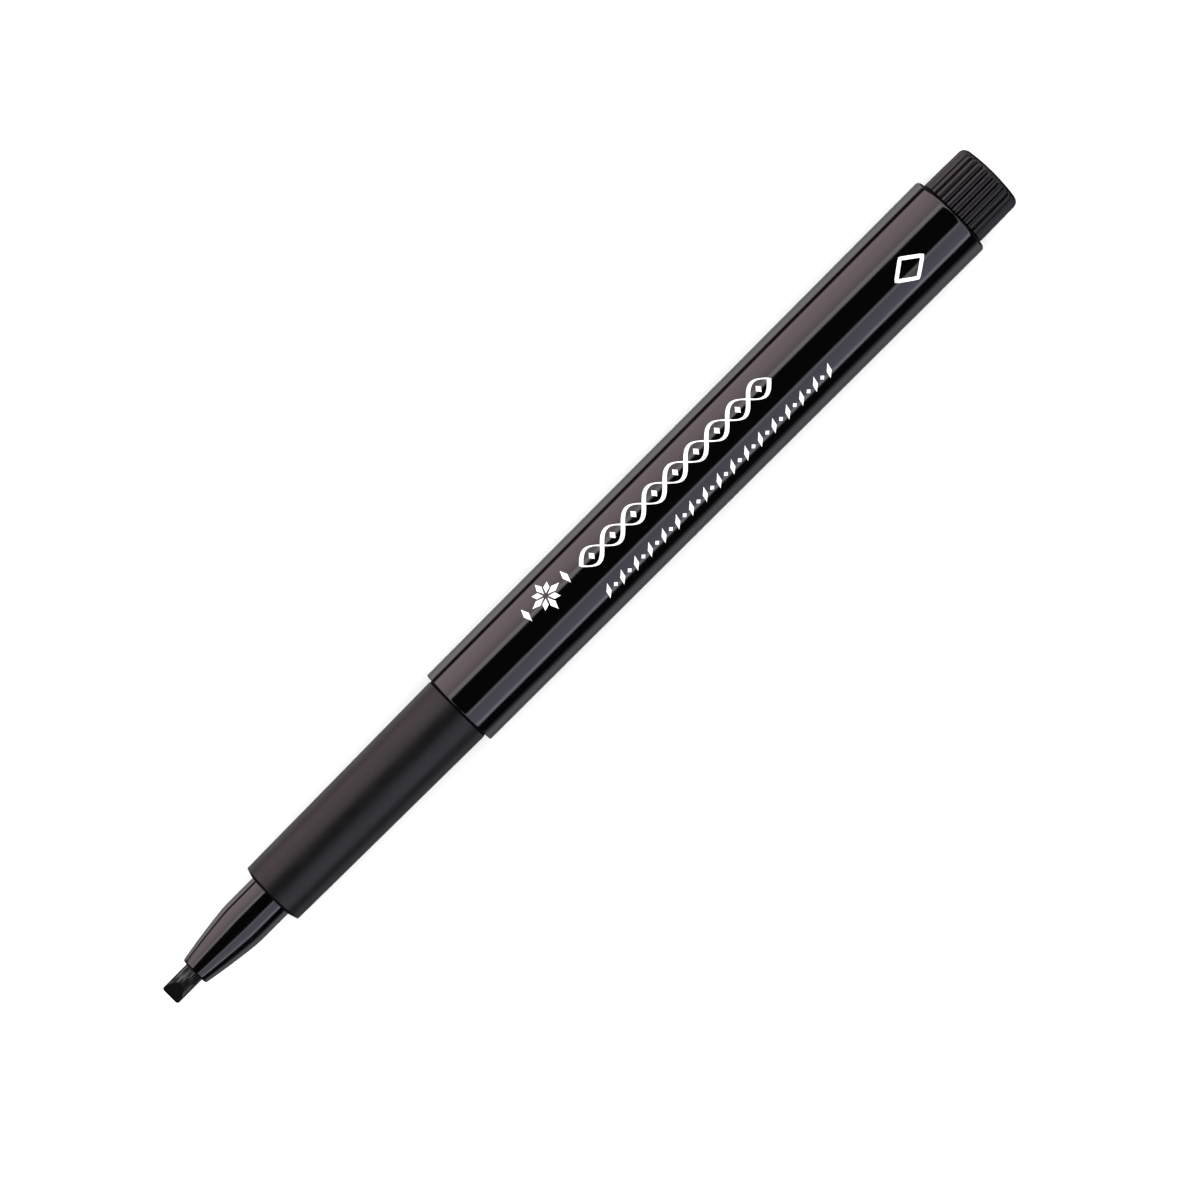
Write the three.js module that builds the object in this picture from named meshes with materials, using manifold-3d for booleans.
// A felt-tip calligraphy marker with its cap off, lying on its side.
//
// Millimetres. The pen's axis runs along +X from the nib to the end plug, +Z is up and +Y is
// across. The origin is under the middle of the pen, level with the barrel's lowest line. The
// chisel's broad edge lies along Y, so that one bevel faces straight up.
//
// Every turned piece is a polygon around the axis, drawn so that the middles of its flats lie
// on the true radius and one flat faces straight down.

import * as THREE from 'three';
import { mergeVertices } from 'three/addons/utils/BufferGeometryUtils.js';
import Module from 'manifold-3d';

const wasm = await Module();
wasm.setup();

// ---------------------------------------------------------------- driving dimensions

const NIB_REACH = 4.0;          // nib standing out of the holder
const NOSE_LENGTH = 12.2;       // glossy cone in front of the grip
const GRIP_LENGTH = 30.2;       // matte section in front of the barrel
const BARREL_LENGTH = 79.2;
const PLUG_REACH = 6.7;         // ribbed head behind the barrel

const NIB_WIDTH = 2.5;
const NOSE_FRONT_DIAMETER = 3.68;
const NOSE_DIAMETER = 5.74;
const GRIP_FRONT_DIAMETER = 8.15;
const GRIP_REAR_DIAMETER = 8.74;
const BARREL_FRONT_DIAMETER = 10.25;
const BARREL_REAR_DIAMETER = 10.7;
const PLUG_FRONT_DIAMETER = 9.03;
const PLUG_REAR_DIAMETER = 8.9;

const BARREL_BORE_RADIUS = 4.15;
const RESERVOIR_RADIUS = 3.2;   // the bare fibre core
const RIB_COUNT = 30;           // around the end plug

const FIT = 0.08;               // radial clearance of one turned piece in another
const FACE_GAP = 0.3;           // lengthwise clearance between faces that meet
const SIDES = 48;               // sides of a turned piece
const BARREL_SIDES = 24;        // fewer and wider flats, for the barrel lies on one of them
const SMALL_SIDES = 24;         // sides of the nib and the breather tube

// Places along the pen, measured from the nib's edge.
const NOSE_FRONT_X = NIB_REACH;
const GRIP_FRONT_X = NOSE_FRONT_X + NOSE_LENGTH;
const BARREL_FRONT_X = GRIP_FRONT_X + GRIP_LENGTH;
const BARREL_REAR_X = BARREL_FRONT_X + BARREL_LENGTH;
const PEN_LENGTH = BARREL_REAR_X + PLUG_REACH;

const NIB_LENGTH = 30;
const NIB_SHOULDER_X = 13;      // the nib steps down to its tail here
const NIB_TAIL_RADIUS = 0.95;
const HOLDER_REAR_X = 25;
const RESERVOIR_FRONT_X = HOLDER_REAR_X + FACE_GAP;
const RESERVOIR_REAR_X = 115;
const FILM_THICKNESS = 0.12;
const FILM_INNER_RADIUS = RESERVOIR_RADIUS + FIT;
const FILM_OUTER_RADIUS = FILM_INNER_RADIUS + FILM_THICKNESS;
const BREATHER_RADIUS = 0.5;
const BREATHER_WALL = 0.2;
const BREATHER_AXIS_RADIUS = RESERVOIR_RADIUS - BREATHER_RADIUS;
const GRIP_BORE_RADIUS = FILM_OUTER_RADIUS + 2 * FIT;
const GRIP_TAIL_REAR_X = BARREL_FRONT_X + 13;
const PLUG_SPIGOT_FRONT_X = RESERVOIR_REAR_X + FACE_GAP;
const PLUG_SPIGOT_RADIUS = BARREL_BORE_RADIUS - 0.2;

// ---------------------------------------------------------------- building blocks

// Points on an arc around (x, r), in degrees from +X towards larger r.
function arc(x, r, radius, fromDegrees, toDegrees, steps) {
  const points = [];
  for (let i = 0; i <= steps; i += 1) {
    const angle = THREE.MathUtils.degToRad(fromDegrees + (toDegrees - fromDegrees) * (i / steps));
    points.push([x + radius * Math.cos(angle), r + radius * Math.sin(angle)]);
  }
  return points;
}

// A closed three.js geometry as a solid: shared vertices merged, zero-area triangles dropped.
function solidFrom(geometry) {
  const bare = geometry.clone();
  bare.deleteAttribute('normal');
  bare.deleteAttribute('uv');
  const merged = mergeVertices(bare, 1e-4);
  const index = merged.index.array;
  const triangles = [];
  for (let i = 0; i < index.length; i += 3) {
    const [a, b, c] = [index[i], index[i + 1], index[i + 2]];
    if (a !== b && b !== c && c !== a) {
      triangles.push(a, b, c);
    }
  }
  return new wasm.Manifold(new wasm.Mesh({
    numProp: 3,
    vertProperties: new Float32Array(merged.attributes.position.array),
    triVerts: new Uint32Array(triangles),
  }));
}

// Turns a closed outline of [x, r] points about the pen's axis. The outer side is listed from
// front to rear and the inner side from rear to front, which points the faces outwards.
function turned(outline, sides = SIDES) {
  const stretch = 1 / Math.cos(Math.PI / sides);
  const points = outline.map(([x, r]) => new THREE.Vector2(r * stretch, x));
  const [x, r] = outline[0];
  points.push(new THREE.Vector2(r * stretch, x));
  const geometry = new THREE.LatheGeometry(points, sides, Math.PI / sides);
  geometry.rotateZ(-Math.PI / 2);
  return solidFrom(geometry);
}

// A round bar or a round cutter on the pen's axis.
function round(fromX, toX, radius, sides = SIDES) {
  return turned([[fromX, 0], [fromX, radius], [toX, radius], [toX, 0]], sides);
}

// A box between two corners, turned by an angle about the pen's axis.
function box(low, high, angle = 0) {
  const size = high.map((value, axis) => value - low[axis]);
  const geometry = new THREE.BoxGeometry(...size);
  geometry.translate(...high.map((value, axis) => (value + low[axis]) / 2));
  geometry.rotateX(angle);
  return solidFrom(geometry);
}

// Extrudes a side view, given as [x, z] points, to equal depths on both sides of the axis.
function sidePlate(outline, depth) {
  const shape = new THREE.Shape(outline.map(([x, z]) => new THREE.Vector2(x, z)));
  const geometry = new THREE.ExtrudeGeometry(shape, { depth, bevelEnabled: false });
  geometry.rotateX(Math.PI / 2);
  geometry.translate(0, depth / 2, 0);
  return solidFrom(geometry);
}

// Extrudes a plan view, given as [x, y] points, to equal heights above and below the axis.
function planPlate(outline, height) {
  const shape = new THREE.Shape(outline.map(([x, y]) => new THREE.Vector2(x, y)));
  const geometry = new THREE.ExtrudeGeometry(shape, { depth: height, bevelEnabled: false });
  geometry.translate(0, 0, -height / 2);
  return solidFrom(geometry);
}

// A named mesh of a solid.
function piece(name, solid, material) {
  const { vertProperties, triVerts } = solid.getMesh();
  const geometry = new THREE.BufferGeometry();
  geometry.setAttribute('position', new THREE.BufferAttribute(vertProperties, 3));
  geometry.setIndex(new THREE.BufferAttribute(triVerts, 1));
  geometry.computeVertexNormals();
  const mesh = new THREE.Mesh(geometry, material);
  mesh.name = name;
  return mesh;
}

// ---------------------------------------------------------------- materials

function plastic(color, roughness) {
  return new THREE.MeshStandardMaterial({ color, roughness, metalness: 0 });
}

const glossBlack = plastic(0x0b0b0c, 0.08);
const matteBlack = plastic(0x1b191a, 0.6);
const satinBlack = plastic(0x121213, 0.4);
const inkedFibre = plastic(0x0c0c0e, 0.75);
const stainedFibre = plastic(0x26262c, 0.9);
const clearFilm = plastic(0xd8dadc, 0.2);
const tubePlastic = plastic(0xe6e6e4, 0.45);

// ---------------------------------------------------------------- the pieces

// The fibre rod. Two bevels meet in a narrow flat edge; the tail is thinner and pointed.
function makeNib() {
  const radius = NIB_WIDTH / 2;
  const bevelLength = 2.0;
  const halfEdge = 0.2;
  const cornerRadius = 0.35;
  const pointLength = 1.6;
  const pointRadius = 0.45;
  const rod = turned([
    [0, 0],
    [0, radius],
    [NIB_SHOULDER_X, radius],
    [NIB_SHOULDER_X + 0.3, NIB_TAIL_RADIUS],
    [NIB_LENGTH - pointLength, NIB_TAIL_RADIUS],
    [NIB_LENGTH, pointRadius],
    [NIB_LENGTH, 0],
  ], SMALL_SIDES);
  const reach = 2 * radius;
  const chisel = sidePlate([
    [0, -halfEdge],
    [bevelLength, -radius],
    [bevelLength, -reach],
    [NIB_LENGTH + 1, -reach],
    [NIB_LENGTH + 1, reach],
    [bevelLength, reach],
    [bevelLength, radius],
    [0, halfEdge],
  ], 2 * reach);
  const corner = arc(cornerRadius, radius - cornerRadius, cornerRadius, 180, 90, 4);
  const plan = planPlate([
    ...corner.map(([x, y]) => [x, -y]),
    [NIB_LENGTH + 1, -reach],
    [NIB_LENGTH + 1, reach],
    [cornerRadius, reach],
    ...corner.slice().reverse(),
  ], 2 * reach);
  return rod.intersect(chisel).intersect(plan);
}

// The nose's outer side: a slightly swelling cone that turns into a cylinder in a soft knee.
function noseOutline() {
  const frontRadius = NOSE_FRONT_DIAMETER / 2;
  const radius = NOSE_DIAMETER / 2;
  const edge = 0.12;
  const coneEnd = new THREE.Vector2(NOSE_FRONT_X + 7.2, radius - 0.03);
  const cone = new THREE.QuadraticBezierCurve(
    new THREE.Vector2(NOSE_FRONT_X + edge, frontRadius + 0.02),
    new THREE.Vector2(NOSE_FRONT_X + 3.6, radius - 0.41),
    coneEnd,
  );
  const knee = new THREE.Vector2(NOSE_FRONT_X + 8.2, radius);
  return [
    [NOSE_FRONT_X, frontRadius - edge],
    ...cone.getPoints(7).map((point) => [point.x, point.y]),
    [knee.x, knee.y],
  ];
}

// The holder's cone, the flange that seats inside the grip, and the socket with its air ways.
function makeNibHolder() {
  const radius = NOSE_DIAMETER / 2;
  const boreRadius = NIB_WIDTH / 2 + 0.05;
  const tailBoreRadius = NIB_TAIL_RADIUS + 0.08;
  const flangeFrontX = GRIP_FRONT_X + 2.1;
  const flangeRearX = flangeFrontX + 1.6;
  const flangeRadius = GRIP_BORE_RADIUS - FIT;
  const stepX = NIB_SHOULDER_X + 0.4;
  const body = turned([
    ...noseOutline(),
    [flangeFrontX, radius],
    [flangeFrontX, flangeRadius],
    [flangeRearX, flangeRadius],
    [flangeRearX, radius],
    [HOLDER_REAR_X, radius],
    [HOLDER_REAR_X, tailBoreRadius],
    [stepX, tailBoreRadius],
    [stepX, boreRadius],
    [NOSE_FRONT_X + 0.15, boreRadius],
    [NOSE_FRONT_X, boreRadius + 0.1],
  ]);
  return body.subtract(ventGrooves(boreRadius)).subtract(holderSlots(flangeRearX));
}

// Two narrow grooves above and below the nib, along the whole bore: the air's way in.
function ventGrooves(boreRadius) {
  const halfWidth = 0.22;
  const depth = 0.3;
  const reach = boreRadius + depth;
  return box([NOSE_FRONT_X - 1, -halfWidth, -reach], [HOLDER_REAR_X + 1, halfWidth, reach]);
}

// Two crossed slots that split the holder's rear end into four prongs.
function holderSlots(fromX) {
  const halfWidth = 0.6;
  const across = NOSE_DIAMETER;
  const low = [fromX + 1.2, -halfWidth, -across];
  const high = [HOLDER_REAR_X + 1, halfWidth, across];
  return box(low, high).add(box(low, high, Math.PI / 2));
}

// The matte front section. Its front lip holds the nib holder and its tail fits the barrel.
function makeGripSleeve() {
  const frontRadius = GRIP_FRONT_DIAMETER / 2;
  const rearRadius = GRIP_REAR_DIAMETER / 2;
  const frontSlope = 18;        // degrees that the front face leans back
  const frontEdge = 0.15;
  const frontDepth = 0.44;
  const lipRearX = GRIP_FRONT_X + 1.8;
  const lipBoreRadius = NOSE_DIAMETER / 2 + FIT;
  const tailRadius = BARREL_BORE_RADIUS - FIT;
  const stepX = BARREL_FRONT_X + 0.9;
  const leadIn = 0.25;
  return turned([
    [GRIP_FRONT_X, lipBoreRadius],
    [GRIP_FRONT_X, lipBoreRadius + 0.1],
    ...arc(GRIP_FRONT_X + frontDepth, frontRadius - frontEdge, frontEdge, 180 - frontSlope, 90, 3),
    [BARREL_FRONT_X, rearRadius],
    [stepX, rearRadius],
    [stepX, tailRadius],
    [GRIP_TAIL_REAR_X - leadIn, tailRadius],
    [GRIP_TAIL_REAR_X, tailRadius - leadIn],
    [GRIP_TAIL_REAR_X, GRIP_BORE_RADIUS],
    [lipRearX, GRIP_BORE_RADIUS],
    [lipRearX, lipBoreRadius],
  ]);
}

// The barrel widens slightly towards the rear. Each mouth is recessed for its neighbour.
function makeBarrel() {
  const frontRadius = BARREL_FRONT_DIAMETER / 2;
  const rearRadius = BARREL_REAR_DIAMETER / 2;
  const frontEdge = 0.16;
  const rearEdge = 0.28;
  const frontMouthRadius = GRIP_REAR_DIAMETER / 2 + 0.12;
  const rearMouthRadius = PLUG_FRONT_DIAMETER / 2 + 0.1;
  const tube = turned([
    [BARREL_FRONT_X, frontMouthRadius],
    ...arc(BARREL_FRONT_X + frontEdge, frontRadius - frontEdge, frontEdge, 180, 90, 3),
    ...arc(BARREL_REAR_X - rearEdge, rearRadius - rearEdge, rearEdge, 90, 0, 4),
    [BARREL_REAR_X, rearMouthRadius],
    [BARREL_REAR_X - 0.8, rearMouthRadius],
    [BARREL_REAR_X - 0.8, BARREL_BORE_RADIUS],
    [BARREL_FRONT_X + 1.2, BARREL_BORE_RADIUS],
    [BARREL_FRONT_X + 1.2, frontMouthRadius],
  ], BARREL_SIDES);
  return centringRibs().reduce((barrel, rib) => barrel.add(rib), tube);
}

// Low ribs inside the barrel that centre the reservoir and leave air ways beside it.
function centringRibs() {
  const count = 6;
  const halfWidth = 0.3;
  const crestRadius = FILM_OUTER_RADIUS + 0.1;
  const rootRadius = BARREL_BORE_RADIUS + 0.2;
  const low = [GRIP_TAIL_REAR_X + 2, -halfWidth, crestRadius];
  const high = [PLUG_SPIGOT_FRONT_X - 2, halfWidth, rootRadius];
  const ribs = [];
  for (let i = 0; i < count; i += 1) {
    ribs.push(box(low, high, (2 * Math.PI * i) / count));
  }
  return ribs;
}

// The end plug: a ribbed head with a domed, round-edged end, and a hollow spigot with two
// sealing rings that the barrel grips.
function makeEndPlug() {
  const frontRadius = PLUG_FRONT_DIAMETER / 2;
  const rearRadius = PLUG_REAR_DIAMETER / 2;
  const headFrontX = BARREL_REAR_X - 0.65;
  const neckRearX = BARREL_REAR_X + 0.05;
  const neckRadius = frontRadius - 0.2;
  const edge = 0.9;
  const dome = 0.25;
  const cupRadius = 3.1;
  const cupFloorX = BARREL_REAR_X - 1.2;
  const rings = [PLUG_SPIGOT_FRONT_X + 2.2, PLUG_SPIGOT_FRONT_X + 6.6].flatMap(sealingRing);
  const head = turned([
    [PLUG_SPIGOT_FRONT_X, cupRadius],
    [PLUG_SPIGOT_FRONT_X, PLUG_SPIGOT_RADIUS - 0.25],
    [PLUG_SPIGOT_FRONT_X + 0.4, PLUG_SPIGOT_RADIUS],
    ...rings,
    [headFrontX, PLUG_SPIGOT_RADIUS],
    [headFrontX, neckRadius],
    [neckRearX, neckRadius],
    [neckRearX + 0.15, frontRadius],
    ...arc(PEN_LENGTH - dome - edge, rearRadius - edge, edge, 90, 15, 6),
    [PEN_LENGTH, 0],
    [cupFloorX, 0],
    [cupFloorX, cupRadius],
  ]);
  return gripGrooves(neckRearX, frontRadius).reduce((plug, groove) => plug.subtract(groove), head);
}

// The outline of one low rounded ring on the plug's spigot, centred on x.
function sealingRing(x) {
  const base = PLUG_SPIGOT_RADIUS;
  const crest = BARREL_BORE_RADIUS - FIT;
  return [[x - 0.5, base], [x - 0.2, crest], [x + 0.2, crest], [x + 0.5, base]];
}

// V grooves between the ribs, with a rib on top. They run out where the head's edge rounds away.
function gripGrooves(fromX, headRadius) {
  const depth = 0.3;
  const pitch = (2 * Math.PI) / RIB_COUNT;
  const outer = headRadius + depth;
  const halfWidth = 0.6 * headRadius * pitch;
  const grooves = [];
  for (let i = 0; i < RIB_COUNT; i += 1) {
    const shape = new THREE.Shape([
      new THREE.Vector2(0, headRadius - depth),
      new THREE.Vector2(halfWidth, outer),
      new THREE.Vector2(-halfWidth, outer),
    ]);
    const geometry = new THREE.ExtrudeGeometry(shape, { depth: 2 * PLUG_REACH, bevelEnabled: false });
    geometry.rotateY(Math.PI / 2);
    geometry.rotateX(pitch * i);
    geometry.translate(fromX - 0.1, 0, 0);
    grooves.push(solidFrom(geometry));
  }
  return grooves;
}

// The fibre core, with a socket for the nib's tail and a groove for the breather tube.
function makeInkReservoir() {
  const socketDepth = NIB_LENGTH - RESERVOIR_FRONT_X + 1;
  const core = round(RESERVOIR_FRONT_X, RESERVOIR_REAR_X, RESERVOIR_RADIUS);
  const socket = round(
    RESERVOIR_FRONT_X - 1,
    RESERVOIR_FRONT_X + socketDepth,
    NIB_TAIL_RADIUS + 0.1,
    SMALL_SIDES,
  );
  const groove = round(RESERVOIR_FRONT_X - 1, RESERVOIR_REAR_X + 1, BREATHER_RADIUS + FIT, SMALL_SIDES)
    .translate([0, 0, BREATHER_AXIS_RADIUS]);
  return core.subtract(socket).subtract(groove);
}

// The plastic film around the fibre core, open at both ends.
function makeReservoirFilm() {
  const frontX = RESERVOIR_FRONT_X + 0.4;
  const rearX = RESERVOIR_REAR_X - 0.4;
  return turned([
    [frontX, FILM_INNER_RADIUS],
    [frontX, FILM_OUTER_RADIUS],
    [rearX, FILM_OUTER_RADIUS],
    [rearX, FILM_INNER_RADIUS],
  ]);
}

// The thin open tube along the top of the core.
function makeBreatherTube() {
  const innerRadius = BREATHER_RADIUS - BREATHER_WALL;
  const tube = turned([
    [RESERVOIR_FRONT_X, innerRadius],
    [RESERVOIR_FRONT_X, BREATHER_RADIUS],
    [RESERVOIR_REAR_X, BREATHER_RADIUS],
    [RESERVOIR_REAR_X, innerRadius],
  ], SMALL_SIDES);
  return tube.translate([0, 0, BREATHER_AXIS_RADIUS]);
}

// ---------------------------------------------------------------- the assembly

const marker = new THREE.Group();
marker.position.set(-PEN_LENGTH / 2, 0, BARREL_REAR_DIAMETER / 2);
marker.add(
  piece('nib', makeNib(), inkedFibre),
  piece('nib_holder', makeNibHolder(), glossBlack),
  piece('grip_sleeve', makeGripSleeve(), matteBlack),
  piece('barrel', makeBarrel(), glossBlack),
  piece('ink_reservoir', makeInkReservoir(), stainedFibre),
  piece('reservoir_film', makeReservoirFilm(), clearFilm),
  piece('breather_tube', makeBreatherTube(), tubePlastic),
  piece('end_plug', makeEndPlug(), satinBlack),
);

export default marker;
